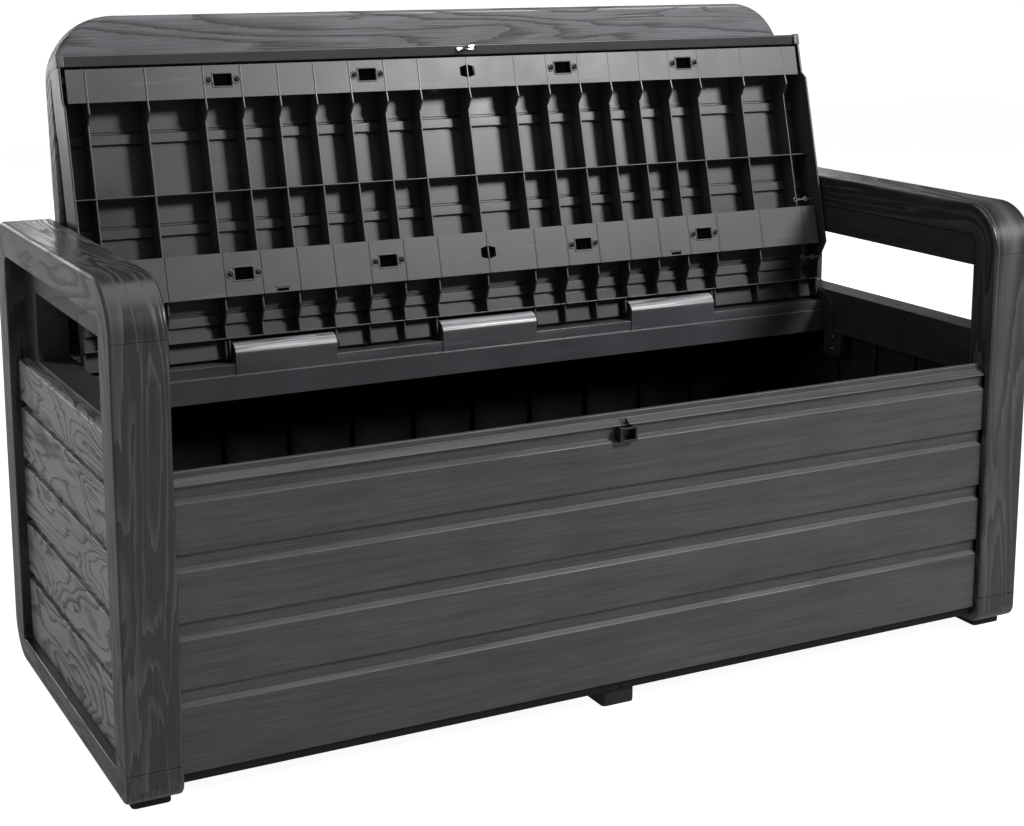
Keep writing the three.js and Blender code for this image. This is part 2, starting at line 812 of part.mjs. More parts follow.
addPart(bench, "hinge_rail", hingeRail(), colours.lid);
blockSpans().forEach(([x0, x1], i) => {
  const pin = rodX(pinRadius, x0 - pinEngagement, x1 + pinEngagement, hingeY, hingeZ, 16);
  addPart(bench, "hinge_pin_" + ["centre", "right", "left"][i], pin, colours.steel, 1, 0.3);
});
addPair("rail_end_plate", endPlate(), colours.web);
bracketScrewPlaces.forEach(([y, z], i) => {
  const place = ["upper", "lower"][i];
  addPair("rail_screw_" + place, bracketScrew(y, z), colours.steel, 1, 0.3);
});

addPart(bench, "backrest_front", backShell(0, backFrontShell, 0), colours.frame);
addPart(bench, "backrest_rear", backShell(backFrontShell + gap, backThickness, backRebate), colours.frame);
addPart(bench, "lock_housing", lockHousing(), colours.lock, 0, 0.6);

addPart(lid, "lid_panel", lidPanel(), colours.lid);
addPart(lid, "lid_band_front", lidBand(frontBandNear, frontBandFar, bandCentres.front), colours.band);
addPart(lid, "lid_band_middle", lidBand(rearBandNear, rearBandFar, bandCentres.middle), colours.band);
lidScrewPlaces().forEach((place, i) => {
  addPart(lid, "lid_screw_" + String(i + 1).padStart(2, "0"), lidScrew(place), colours.steel, 1, 0.3);
});
addPart(lid, "lid_lock_staple", lockStaple(), colours.steel, 1, 0.25);

// The lid stands open, leaning on the back rest; closed it is turned forward to the front rim
lid.position.set(0, hingeY, hingeZ);
lid.rotation.x = -(Math.PI / 2 + lidLean);

// Centre the bench front to back over its origin
bench.updateMatrixWorld(true);
const extent = new THREE.Box3().setFromObject(bench);
bench.position.y = -(extent.min.y + extent.max.y) / 2;

export default bench;
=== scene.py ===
import json
import math

import bmesh
import bpy
import numpy as np
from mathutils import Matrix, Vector

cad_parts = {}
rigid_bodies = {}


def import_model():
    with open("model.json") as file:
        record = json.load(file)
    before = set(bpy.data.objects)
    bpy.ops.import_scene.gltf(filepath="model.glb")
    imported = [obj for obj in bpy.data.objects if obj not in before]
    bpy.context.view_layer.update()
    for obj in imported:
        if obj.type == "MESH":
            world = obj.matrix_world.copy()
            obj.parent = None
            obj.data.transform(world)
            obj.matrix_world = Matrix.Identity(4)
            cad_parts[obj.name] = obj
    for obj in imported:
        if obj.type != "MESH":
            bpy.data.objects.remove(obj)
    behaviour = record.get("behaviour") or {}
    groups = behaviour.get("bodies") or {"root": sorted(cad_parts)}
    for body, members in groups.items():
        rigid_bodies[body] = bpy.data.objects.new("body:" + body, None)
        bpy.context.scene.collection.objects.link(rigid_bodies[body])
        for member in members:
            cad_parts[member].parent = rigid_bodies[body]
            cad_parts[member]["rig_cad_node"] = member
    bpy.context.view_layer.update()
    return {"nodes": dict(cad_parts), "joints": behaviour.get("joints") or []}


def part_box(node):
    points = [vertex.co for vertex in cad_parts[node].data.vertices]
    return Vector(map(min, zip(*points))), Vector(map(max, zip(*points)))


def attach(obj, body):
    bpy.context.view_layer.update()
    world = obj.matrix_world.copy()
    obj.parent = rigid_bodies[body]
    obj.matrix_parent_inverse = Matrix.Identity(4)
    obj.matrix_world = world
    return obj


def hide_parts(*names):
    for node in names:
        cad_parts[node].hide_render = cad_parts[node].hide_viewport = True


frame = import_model()
nodes = frame["nodes"]
hinge = frame["joints"][0]
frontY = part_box("side_frame_right")[0].y * 1000   # front faces of the posts, in mm
print("frame loaded:", len(nodes), "nodes")


# Points are (X, depth behind the post fronts, height) in mm, and become metres in the row frame.
def toFrame(points):
    return (np.asarray(points, float) + np.array([0, frontY, 0])) / 1000


# Lid points are (X, reach from the hinge, height above it when closed). The open lid leans by a:
# depth = hinge + reach sin a + height cos a, and height = hinge + reach cos a - height sin a.
def onLid(points):
    lean = math.radians(hinge["range_deg"][1] - 90)
    x, reach, up = np.moveaxis(np.asarray(points, float), -1, 0)
    depth = hinge["pos_m"][1] * 1000 - frontY + reach * math.sin(lean) + up * math.cos(lean)
    height = hinge["pos_m"][2] * 1000 + reach * math.cos(lean) - up * math.sin(lean)
    return toFrame(np.stack([x, depth, height], -1))


# Rounds each corner of a closed outline: an arc of the corner's radius, tangent to both edges.
def roundedOutline(corners, steps=4):
    corners = [(*c, 0)[:3] for c in corners]
    points = []
    for i, (a, b, radius) in enumerate(corners):
        here = np.array([a, b], float)
        if radius <= 0:
            points.append(here[None])
            continue
        back = np.array(corners[i - 1][:2]) - here
        ahead = np.array(corners[(i + 1) % len(corners)][:2]) - here
        back, ahead = back / np.linalg.norm(back), ahead / np.linalg.norm(ahead)
        half = math.acos(np.clip(back @ ahead, -1, 1)) / 2
        middle = (back + ahead) / np.linalg.norm(back + ahead)
        centre = here + middle * radius / math.sin(half)
        start = here + back * radius / math.tan(half) - centre
        end = here + ahead * radius / math.tan(half) - centre
        turn = math.atan2(start[0] * end[1] - start[1] * end[0], start @ end)
        t = turn * np.linspace(0, 1, steps + 1)[:, None]
        side = np.array([-start[1], start[0]])
        points.append(centre + start * np.cos(t) + side * np.sin(t))
    return np.concatenate(points)


# Outward unit normals of a closed outline: the mean of the two edges' normals at each point.
def outlineNormals(ring):
    edge = np.roll(ring, -1, 0) - ring
    edge = edge / np.maximum(np.linalg.norm(edge, axis=1, keepdims=True), 1e-9)
    x, y = ring.T
    sign = 1 if np.sum(x * np.roll(y, -1) - np.roll(x, -1) * y) > 0 else -1
    normal = np.stack([edge[:, 1], -edge[:, 0]], 1) * sign
    normal = normal + np.roll(normal, 1, 0)
    return normal / np.maximum(np.linalg.norm(normal, axis=1, keepdims=True), 1e-9)


# Distance along an outline, with one more value for the way back to its start.
def runLength(ring):
    step = np.linalg.norm(np.roll(ring, -1, 0) - ring, axis=1)
    return np.concatenate([[0], np.cumsum(step)])


# Positions and insets of an extrusion from a to b whose end edges are quarter circles.
def roundedEnds(a, b, radius, steps=3, between=()):
    angle = np.linspace(0, math.pi / 2, steps + 1)
    near, inset = radius * (1 - np.cos(angle)), radius * (1 - np.sin(angle))
    at = np.concatenate([a + near, between, b - near[::-1]])
    return at, np.concatenate([inset, np.zeros(len(between)), inset[::-1]])


# A closed outline carried along a straight line: point = (station, outline - normal x inset).
def sweepOutline(ring, stations, insets, place, lift=None):
    flat = ring[None] - outlineNormals(ring)[None] * np.asarray(insets)[:, None, None]
    if lift is not None:
        flat = flat + lift(np.asarray(stations)[:, None], ring[None])
    points = place(np.broadcast_to(np.asarray(stations, float)[:, None], flat.shape[:2]), flat)
    along, across = np.meshgrid(stations, runLength(ring), indexing="ij")
    return {"points": points, "uv": np.stack([along, across], -1) / 1000}


# Puts grids of points into one mesh. Rings close on themselves, and flat caps close their ends.
def makePiece(name, grids, material, body, replaces=(), sharp=35):
    verts, faces, uvs, start, slots = [], [], [], 0, []
    for g in grids:
        p, uv = g["points"], g["uv"]
        m, n = p.shape[:2]
        loop = g.get("closed", False)
        i = np.arange(m if loop else m - 1)[:, None]
        j = np.arange(n)[None]
        k, l = (i + 1) % m, (j + 1) % n
        quads = np.stack([i * n + j, k * n + j, k * n + l, i * n + l], -1).reshape(-1, 4)
        here = [*quads]
        iu, ju = np.broadcast_arrays(i, j)
        quadUv = np.stack([uv[iu, ju], uv[iu + 1, ju], uv[iu + 1, ju + 1], uv[iu, ju + 1]], 2)
        loopUv = [quadUv.reshape(-1, 2)]
        if not loop:
            here += [np.arange(n), (m - 1) * n + np.arange(n)[::-1]]
            loopUv += [uv[0, :n] + [0, p[0, 0, 2]], uv[-1, :n][::-1]]
        flat = p.reshape(-1, 3)
        tri = np.concatenate([quads[:, :3], quads[:, [0, 2, 3]]])
        caps = [] if loop else here[-2:]
        fans = [np.stack([np.full(n - 2, c[0]), c[1:-1], c[2:]], 1) for c in caps]
        tri = np.concatenate([tri, *fans])
        a, b, c = (flat[tri[:, q]] - flat.mean(0) for q in range(3))
        if np.sum(a * np.cross(b, c)) < 0:          # inside out, so every face is turned round
            here = [f[::-1] for f in here]
            loopUv = [quadUv[:, :, ::-1].reshape(-1, 2), *[u[::-1] for u in loopUv[1:]]]
        verts.append(flat)
        faces += [(f + start).tolist() for f in here]
        uvs += loopUv
        slots.append(np.broadcast_to(g.get("slots", 0), (quads.shape[0] // n, n)).ravel())
        slots.append(np.zeros(0 if loop else 2, int))
        start += len(flat)
    mesh = bpy.data.meshes.new(name)
    mesh.from_pydata(np.concatenate(verts).tolist(), [], faces)
    layer = mesh.uv_layers.new(name="UVMap")
    layer.data.foreach_set("uv", np.concatenate(uvs).astype(np.float32).ravel())
    mesh.polygons.foreach_set("material_index", np.concatenate(slots).astype(np.int32))
    obj = finishPiece(bpy.data.objects.new(name, mesh), material, body, replaces, sharp)
    weighted = obj.modifiers.new("flat faces", "WEIGHTED_NORMAL")     # wide faces shade flat
    weighted.mode, weighted.keep_sharp = "FACE_AREA", True
    return obj


# Links a piece, gives it its materials and sharp edges, and says which body it rides on.
def finishPiece(obj, material, body, replaces=(), sharp=35):
    bpy.context.scene.collection.objects.link(obj)
    for one in material if isinstance(material, list) else [material]:
        obj.data.materials.append(one)
    obj.data.shade_smooth()
    obj.data.set_sharp_from_angle(angle=math.radians(sharp))
    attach(obj, body)
    if replaces:
        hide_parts(*replaces)
    return obj


# A merged copy of CAD nodes with their flat faces joined again and their edges rounded.
def softenedCopy(name, sources, material, body, width, segments=2, angle=32):
    bm = bmesh.new()
    for source in sources:
        bm.from_mesh(nodes[source].data)
    bmesh.ops.remove_doubles(bm, verts=bm.verts, dist=1e-6)
    bmesh.ops.dissolve_limit(bm, angle_limit=math.radians(0.6), verts=bm.verts, edges=bm.edges)
    mesh = bpy.data.meshes.new(name)
    bm.to_mesh(mesh)
    bm.free()
    obj = finishPiece(bpy.data.objects.new(name, mesh), material, body, sources, angle)
    bevel = obj.modifiers.new("edges", "BEVEL")
    bevel.limit_method, bevel.angle_limit = "ANGLE", math.radians(angle)
    bevel.width, bevel.segments = width / 1000, segments
    bevel.harden_normals = True
    bevel.use_clamp_overlap = True
    return obj


# A shader node with its settings and inputs: a socket is linked, anything else is a value.
def addNode(tree, kind, inputs=None, **settings):
    node = tree.nodes.new(kind)
    for key, value in settings.items():
        setattr(node, key, value)
    for key, value in (inputs or {}).items():
        if isinstance(value, bpy.types.NodeSocket):
            tree.links.new(value, node.inputs[key])
        else:
            node.inputs[key].default_value = value
    return node


def mathNode(tree, operation, a, b=0.0, c=0.0):
    return addNode(tree, "ShaderNodeMath", {0: a, 1: b, 2: c}, operation=operation).outputs[0]


def newGroup(name, inputs, outputs):
    group = bpy.data.node_groups.new(name, "ShaderNodeTree")
    for label, kind, value in inputs:
        socket = group.interface.new_socket(label, in_out="INPUT", socket_type="NodeSocket" + kind)
        if value is not None:
            socket.default_value = value
    for label, kind in outputs:
        group.interface.new_socket(label, in_out="OUTPUT", socket_type="NodeSocket" + kind)
    source = group.nodes.new("NodeGroupInput")
    sink = group.nodes.new("NodeGroupOutput")
    return group, source, sink


# Wood figure in the mould: contour lines of a smooth noise that is stretched along the grain.
# Line = 1 - fraction(noise x rings) / width, so each has a sharp side and a soft side. A second noise
# changes the width from place to place, and fibres are a far more stretched noise.
def woodFigureGroup():
    g, source, sink = newGroup("woodFigure", [
        ("Vector", "Vector", None), ("Scale", "Float", 9.0), ("Stretch", "Float", 5.0),
        ("Rings", "Float", 9.0), ("Width", "Float", 0.3), ("Seed", "Float", 0.0),
    ], [("Lines", "Float"), ("Fibres", "Float"), ("Tone", "Float")])
    put = lambda *a, **k: addNode(g, *a, **k)
    parts = put("ShaderNodeSeparateXYZ", {0: source.outputs["Vector"]})
    along = mathNode(g, "DIVIDE", parts.outputs[0], source.outputs["Stretch"])
    third = mathNode(g, "ADD", parts.outputs[2], source.outputs["Seed"])
    at = put("ShaderNodeCombineXYZ", {0: along, 1: parts.outputs[1], 2: third}).outputs[0]
    thin = mathNode(g, "DIVIDE", parts.outputs[0], 45.0)
    fibreAt = put("ShaderNodeCombineXYZ", {0: thin, 1: parts.outputs[1], 2: third}).outputs[0]
    fibres = put("ShaderNodeTexNoise", {"Vector": fibreAt, "Scale": 420.0, "Detail": 2.0,
                                        "Roughness": 0.6})
    g.links.new(fibres.outputs[0], sink.inputs["Fibres"])
    broad = put("ShaderNodeTexNoise", {"Vector": at, "Scale": source.outputs["Scale"], "Detail": 3.5,
                                       "Roughness": 0.4, "Distortion": 0.5})
    count = mathNode(g, "MULTIPLY", broad.outputs[0], source.outputs["Rings"])
    rough = mathNode(g, "MULTIPLY_ADD", fibres.outputs[0], 0.5, count)
    saw = mathNode(g, "FRACT", rough)
    fade = put("ShaderNodeTexNoise", {"Vector": at, "Scale": 16.0, "Detail": 2.0})
    fade = put("ShaderNodeMapRange", {0: fade.outputs[0], 1: 0.36, 2: 0.6, 3: 0.35, 4: 1.25})
    width = mathNode(g, "MULTIPLY", source.outputs["Width"], fade.outputs[0])
    fall = mathNode(g, "DIVIDE", saw, width)
    lines = put("ShaderNodeMapRange", {0: fall, 1: 0.0, 2: 1.0, 3: 1.0, 4: 0.0}).outputs[0]
    g.links.new(lines, sink.inputs["Lines"])
    tone = put("ShaderNodeTexNoise", {"Vector": at, "Scale": 22.0, "Detail": 3.0})
    g.links.new(tone.outputs[0], sink.inputs["Tone"])
    return g


# Fine moulded skin: a small leathery noise, wide soft mottling, and sparse scuff strokes.
def skinGroup():
    g, source, sink = newGroup("mouldedSkin", [
        ("Vector", "Vector", None), ("Fineness", "Float", 900.0),
    ], [("Grit", "Float"), ("Mottle", "Float"), ("Scuff", "Float")])
    put = lambda *a, **k: addNode(g, *a, **k)
    vector = source.outputs["Vector"]
    grit = put("ShaderNodeTexNoise", {"Vector": vector, "Scale": source.outputs["Fineness"],
                                      "Detail": 2.0, "Roughness": 0.55})
    g.links.new(grit.outputs[0], sink.inputs["Grit"])
    mottle = put("ShaderNodeTexNoise", {"Vector": vector, "Scale": 9.0, "Detail": 4.0,
                                        "Roughness": 0.6})
    g.links.new(mottle.outputs[0], sink.inputs["Mottle"])
    turned = put("ShaderNodeMapping", {0: vector, 2: (0.3, 0.5, 0.9), 3: (7.0, 160.0, 90.0)})
    scuff = put("ShaderNodeTexNoise", {"Vector": turned.outputs[0], "Scale": 1.0, "Detail": 3.0})
    scuff = put("ShaderNodeMapRange", {0: scuff.outputs[0], 1: 0.63, 2: 0.74, 3: 0.0, 4: 1.0})
    g.links.new(scuff.outputs[0], sink.inputs["Scuff"])
    return g


woodFigure = woodFigureGroup()
mouldedSkin = skinGroup()


def linear(hexColour):
    parts = [int(hexColour[i:i + 2], 16) / 255 for i in (1, 3, 5)]
    return [c / 12.92 if c <= 0.04045 else ((c + 0.055) / 1.055) ** 2.4 for c in parts] + [1.0]


# One moulded plastic: base, line and worn colours, with figure and skin in colour, gloss and relief.
def plastic(name, base, lines=None, figure=None, along="uv", roughness=0.5, skin=900.0, mottle=0.12,
            lineDepth=0.25, lineShade=0.6, fibreShade=0.1, lineRough=0.1, scuff=0.15, seed=0.0,
            gritDepth=0.03, fibreDepth=0.04, turn=(0, 0, 0), specular=0.5):
    material = bpy.data.materials.new(name)
    material.use_nodes = True
    t = material.node_tree
    shader = t.nodes["Principled BSDF"]
    put = lambda *a, **k: addNode(t, *a, **k)
    coords = put("ShaderNodeTexCoord")
    place = coords.outputs["Object"]
    grain = coords.outputs["UV"] if along == "uv" else put(
        "ShaderNodeMapping", {0: place, 2: turn}).outputs[0]
    fine = put("ShaderNodeGroup", {}, node_tree=mouldedSkin)
    t.links.new(place, fine.inputs["Vector"])
    fine.inputs["Fineness"].default_value = skin
    colour = linear(base)
    shade = put("ShaderNodeMapRange", {0: fine.outputs["Mottle"], 1: 0.3, 2: 0.7,
                                       3: 1 - mottle, 4: 1 + mottle}).outputs[0]
    rough = put("ShaderNodeMapRange", {0: fine.outputs["Mottle"], 1: 0.3, 2: 0.7,
                                       3: roughness - 0.05, 4: roughness + 0.05}).outputs[0]
    height = mathNode(t, "MULTIPLY", fine.outputs["Grit"], gritDepth)
    if figure:
        wood = put("ShaderNodeGroup", {}, node_tree=woodFigure)
        t.links.new(grain, wood.inputs["Vector"])
        for key, value in {**figure, "Seed": seed}.items():
            wood.inputs[key].default_value = value
        line = wood.outputs["Lines"]
        fibre = put("ShaderNodeMapRange", {0: wood.outputs["Fibres"], 1: 0.3, 2: 0.7,
                                           3: 1 - fibreShade, 4: 1 + fibreShade}).outputs[0]
        toned = put("ShaderNodeMapRange", {0: wood.outputs["Tone"], 1: 0.3, 2: 0.7,
                                           3: 1 - mottle, 4: 1 + mottle}).outputs[0]
        shade = mathNode(t, "MULTIPLY", mathNode(t, "MULTIPLY", shade, fibre), toned)
        rough = mathNode(t, "MULTIPLY_ADD", line, lineRough, rough)
        height = mathNode(t, "MULTIPLY_ADD", line, -lineDepth, height)
        height = mathNode(t, "MULTIPLY_ADD", wood.outputs["Fibres"], fibreDepth, height)
        mixed = put("ShaderNodeMix", {6: colour, 7: linear(lines)}, data_type="RGBA")
        t.links.new(mathNode(t, "MULTIPLY", line, lineShade), mixed.inputs[0])
        colour = mixed.outputs[2]
    worn = mathNode(t, "MULTIPLY_ADD", fine.outputs["Scuff"], scuff, shade)
    tinted = put("ShaderNodeVectorMath", {0: colour[:3] if isinstance(colour, list) else colour},
                 operation="SCALE")
    t.links.new(worn, tinted.inputs["Scale"])
    bump = put("ShaderNodeBump", {"Height": height, "Strength": 1.0, "Distance": 0.001})
    t.links.new(tinted.outputs[0], shader.inputs["Base Color"])
    t.links.new(rough, shader.inputs["Roughness"])
    t.links.new(bump.outputs[0], shader.inputs["Normal"])
    shader.inputs["Specular IOR Level"].default_value = specular
    return material


# Brushed steel: a stretched noise changes its colour and roughness and adds a fine relief.
def steel(name, base, roughness, scratches=0.12):
    material = bpy.data.materials.new(name)
    material.use_nodes = True
    t = material.node_tree
    shader = t.nodes["Principled BSDF"]
    coords = addNode(t, "ShaderNodeTexCoord").outputs["Object"]
    spread = addNode(t, "ShaderNodeMapping", {0: coords, 3: (60.0, 900.0, 900.0)}).outputs[0]
    brushed = addNode(t, "ShaderNodeTexNoise", {"Vector": spread, "Scale": 1.0,
                                                "Detail": 3.0}).outputs[0]
    rough = addNode(t, "ShaderNodeMapRange", {0: brushed, 3: roughness - scratches,
                                              4: roughness + scratches}).outputs[0]
    darker = [c * 0.75 for c in linear(base)[:3]] + [1]
    colour = addNode(t, "ShaderNodeMix", {0: brushed, 6: linear(base), 7: darker}, data_type="RGBA")
    t.links.new(colour.outputs[2], shader.inputs["Base Color"])
    t.links.new(rough, shader.inputs["Roughness"])
    bump = addNode(t, "ShaderNodeBump", {"Height": brushed, "Strength": 0.3, "Distance": 0.0001})
    t.links.new(bump.outputs[0], shader.inputs["Normal"])
    shader.inputs["Metallic"].default_value = 1.0
    return material


framePlastic = plastic("framePlastic", "#272729", "#4b4b4e",
                       {"Scale": 15.0, "Stretch": 9.0, "Rings": 13.0, "Width": 0.7},
                       roughness=0.3, lineShade=0.75, lineDepth=0.1, lineRough=0.25, fibreShade=0.3)
boardPlastic = plastic("boardPlastic", "#8a8b8f", "#151517",
                       {"Scale": 12.0, "Stretch": 4.5, "Rings": 18.0, "Width": 0.6},
                       roughness=0.42, lineShade=0.92, lineDepth=0.2, fibreShade=0.34, seed=3.0)
panelPlastic = plastic("panelPlastic", "#3e3e41", "#303033",
                       {"Scale": 13.0, "Stretch": 18.0, "Rings": 9.0, "Width": 0.7},
                       roughness=0.42, lineShade=0.5, lineDepth=0.08, fibreShade=0.24, fibreDepth=0.12,
                       seed=7.0)
backPlastic = plastic("backPlastic", "#606064", "#1a1a1c",
                      {"Scale": 11.0, "Stretch": 8.0, "Rings": 14.0, "Width": 0.45},
                      roughness=0.38, lineShade=0.85, lineDepth=0.2, lineRough=0.2, fibreShade=0.24,
                      seed=11.0)
seatPlastic = plastic("seatPlastic", "#3a3a3c", "#1c1c1e",
                      {"Scale": 11.0, "Stretch": 8.0, "Rings": 14.0, "Width": 0.45},
                      roughness=0.42, lineShade=0.7, lineDepth=0.2, seed=17.0)
# Light grey with grain for the rail blocks' tops: the grain is real, the lightness is painted sheen.
blockTopSheen = plastic("blockTopSheen", "#a4a5a8", "#2a2a2c",
                       {"Scale": 24.0, "Stretch": 14.0, "Rings": 12.0, "Width": 0.5}, along="object",
                       roughness=0.3, lineShade=0.8, lineDepth=0.1, fibreShade=0.3, seed=23.0)
lidPlastic = plastic("lidPlastic", "#37373a", roughness=0.35, mottle=0.09, skin=500.0, scuff=0.3)
bandPlastic = plastic("bandPlastic", "#414145", roughness=0.4, mottle=0.12, skin=300.0, scuff=0.4,
                      gritDepth=0.015)
railPlastic = plastic("railPlastic", "#414145", roughness=0.3, mottle=0.14, skin=400.0, scuff=0.5)
webPlastic = plastic("webPlastic", "#303033", "#1c1c1e",
                     {"Scale": 15.0, "Stretch": 9.0, "Rings": 12.0, "Width": 0.5}, along="object",
                     turn=(0, 0, math.pi / 2), roughness=0.4, lineShade=0.6, lineDepth=0.08, seed=31.0)
# Near black for the bay's back and floor: painted shade for the inside of the bay.
bayShadePlastic = plastic("bayShadePlastic", "#080809", roughness=0.6, mottle=0.12, skin=500.0,
                       specular=0.25)
# Flat black for the plates of painted shade behind the windows and slots.
shadowPlastic = plastic("shadowPlastic", "#050505", roughness=0.95, mottle=0.1, scuff=0.0,
                        specular=0.02)
rubber = plastic("footRubber", "#0e0e0f", roughness=0.75, mottle=0.15, skin=700.0, gritDepth=0.06)
lockPlastic = plastic("lockPlastic", "#0f0f10", roughness=0.4, mottle=0.1, skin=900.0)
brightSteel = steel("brightSteel", "#d6d8da", 0.25)
dullSteel = steel("dullSteel", "#303032", 0.45)
darkSteel = steel("darkSteel", "#1c1c1d", 0.5)
print("materials made:", len(bpy.data.materials))


sideFrame = {
    "outer": (0, 577, 12, 647), "inner": (48, 527.5, 44.5, 600),
    "outerRadii": (18, 56.5, 44.5, 69), "innerRadius": 9,        # from front bottom, rear bottom on
    "xInner": 619, "xOuter": 690, "outerEdge": 4.2, "innerEdge": 2.2,
    "partings": {3: (578.5, 51.8), 1: (602.5, 68.5)}, "partingDepth": 2.6, "partingWidth": 1.0,
    "uvShift": {1: (0.9, 2.0), -1: (4.2, -2.0)},
}


# Loop stations: both contours turn each corner together, and run straight between corners.
def loopStations(v, cornerSteps=16):
    def corners(box, radii):
        y0, y1, z0, z1 = box
        places = ((y0, z0), (y1, z0), (y1, z1), (y0, z1))
        inward = ((1, 1), (-1, 1), (-1, -1), (1, -1))
        return [(np.array(p) + np.array(s) * r, r) for p, s, r in zip(places, inward, radii)]
    outerCorners = corners(v["outer"], v["outerRadii"])
    innerCorners = corners(v["inner"], [v["innerRadius"]] * 4)
    outer, inner, groove = [], [], []
    for i in range(4):
        angle = math.pi + i * math.pi / 2 + np.linspace(0, math.pi / 2, cornerSteps + 1)
        ray = np.stack([np.cos(angle), np.sin(angle)], 1)
        for found, (centre, radius) in ((outer, outerCorners[i]), (inner, innerCorners[i])):
            found.append(centre + ray * radius)
        groove.append(np.zeros(len(angle)))
        nextI = (i + 1) % 4
        turned = math.pi + i * math.pi / 2 + math.pi / 2
        away = np.array([math.cos(turned), math.sin(turned)])
        ends = [(c[i][0] + away * c[i][1], c[nextI][0] + away * c[nextI][1])
                for c in (outerCorners, innerCorners)]
        heights = v["partings"].get(i, ())
        (o0, o1), (i0, i1) = ends
        share, depth = [0.33, 0.66], [0.0, 0.0]
        for z in heights:
            w = v["partingWidth"]
            for dz, d in ((-w, 0), (-w * 0.45, 0.8), (0, 1), (w * 0.45, 0.8), (w, 0)):
                share.append(np.clip((z + dz - o0[1]) / (o1[1] - o0[1]), 0.001, 0.999))
                depth.append(d * v["partingDepth"])
        order = np.argsort(share)
        share, depth = np.array(share)[order], np.array(depth)[order]
        outer.append(o0 + (o1 - o0) * share[:, None])
        inner.append(i0 + (i1 - i0) * share[:, None])
        groove.append(depth)
    return np.concatenate(outer), np.concatenate(inner), np.concatenate(groove)


# A closed loop of rounded rectangular section: the section's depth runs from outer to inner contour.
def sideLoop(v, side):
    outer, inner, groove = loopStations(v)
    reach = np.linalg.norm(inner - outer, axis=1)
    across = (inner - outer) / reach[:, None]
    half = (v["xOuter"] - v["xInner"]) / 2
    ro, ri = v["outerEdge"], v["innerEdge"]
    section = roundedOutline([(-half, 0, ro), (half, 0, ro), (half, 100, ri), (-half, 100, ri)], 4)
    normal = outlineNormals(section)
    far = section[:, 1] > 50
    w = np.where(far[None], section[None, :, 1] - 100 + reach[:, None], section[None, :, 1])
    x = np.broadcast_to(section[None, :, 0], w.shape) - normal[None, :, 0] * groove[:, None]
    w = w - normal[None, :, 1] * groove[:, None]
    yz = outer[:, None] + across[:, None] * w[..., None]
    centre = (v["xOuter"] + v["xInner"]) / 2
    points = toFrame(np.stack([side * (centre + x), yz[..., 0], yz[..., 1]], -1))
    u = runLength((outer + inner) / 2)
    flat = section.copy()
    flat[far, 1] -= 52
    uv = np.stack(np.meshgrid(u, runLength(flat), indexing="ij"), -1) / 1000
    return {"points": points, "uv": uv + np.array(v["uvShift"][side]), "closed": True}


for side, label in ((1, "right"), (-1, "left")):
    makePiece("sideLoop_" + label, [sideLoop(sideFrame, side)], framePlastic, "root",
              ["side_frame_" + label])
    softenedCopy("sideWall_" + label, ["side_web_" + label], webPlastic, "root", 1.2)
print("side frames made")


boards = {"back": 663.3, "face": 677, "groove": 7, "slope": 1.2, "tall": 12.5, "edge": 1.6,
          "middles": (389.8, 306.4, 223, 139.6), "bottom": 44.8, "ledge": (460.1, 452),
          "ends": (48.3, 527.2), "between": (200, 360), "uvRow": (0.83, 0.31)}


# Five lapped boards in one outline: a flat face with a sloped groove at each middle, carried in depth.
def boardGrid(v, side):
    deep, tall = v["face"] - v["groove"], v["tall"] / 2
    outline = [(v["back"], v["ledge"][0] - 6), (v["back"], v["bottom"]), (v["face"], v["bottom"], 1)]
    for z in v["middles"][::-1]:
        outline += [(v["face"], z - tall, v["edge"]), (deep, z - tall + v["slope"], 0.8),
                    (deep, z + tall - v["slope"], 0.8), (v["face"], z + tall, v["edge"])]
    outline += [(v["face"], v["ledge"][1], 2.5)]
    ring = roundedOutline(outline, 3)
    near, far = v["ends"]
    at = np.array([near, *v["between"], far])
    grid = sweepOutline(ring, at, np.zeros(4), lambda y, xz: toFrame(
        np.stack([side * xz[..., 0], y, xz[..., 1]], -1)))
    row = np.searchsorted(np.array(v["middles"][::-1]), np.append(ring[:, 1], ring[0, 1]))
    shiftU, shiftV = v["uvRow"]
    grid["uv"] = grid["uv"] + np.stack([row * shiftU + side, row * shiftV], -1)[None]
    return grid


for side, label in ((1, "right"), (-1, "left")):
    makePiece("sideBoards_" + label, [boardGrid(boards, side)], boardPlastic, "root",
              ["side_boards_" + label])
print("side boards made")


panel = {"face": 10, "low": 15.5, "back": 27, "half": 618.7, "bottom": 36.5, "rim": 413, "lip": 20,
         "bevelTop": 405, "bevelFoot": 398, "tops": (380.7, 295.9, 211.1, 126.3),
         "bottoms": (313.9, 229.1, 144.3), "plankBevel": 5, "under": 2, "edge": 2.2,
         "lockHalf": 13.3, "lock": (375.7, 396.8), "slotHalf": 6, "between": (-300, 300),
         "endRadius": 2.5, "uvRow": (1.37, 0.41)}


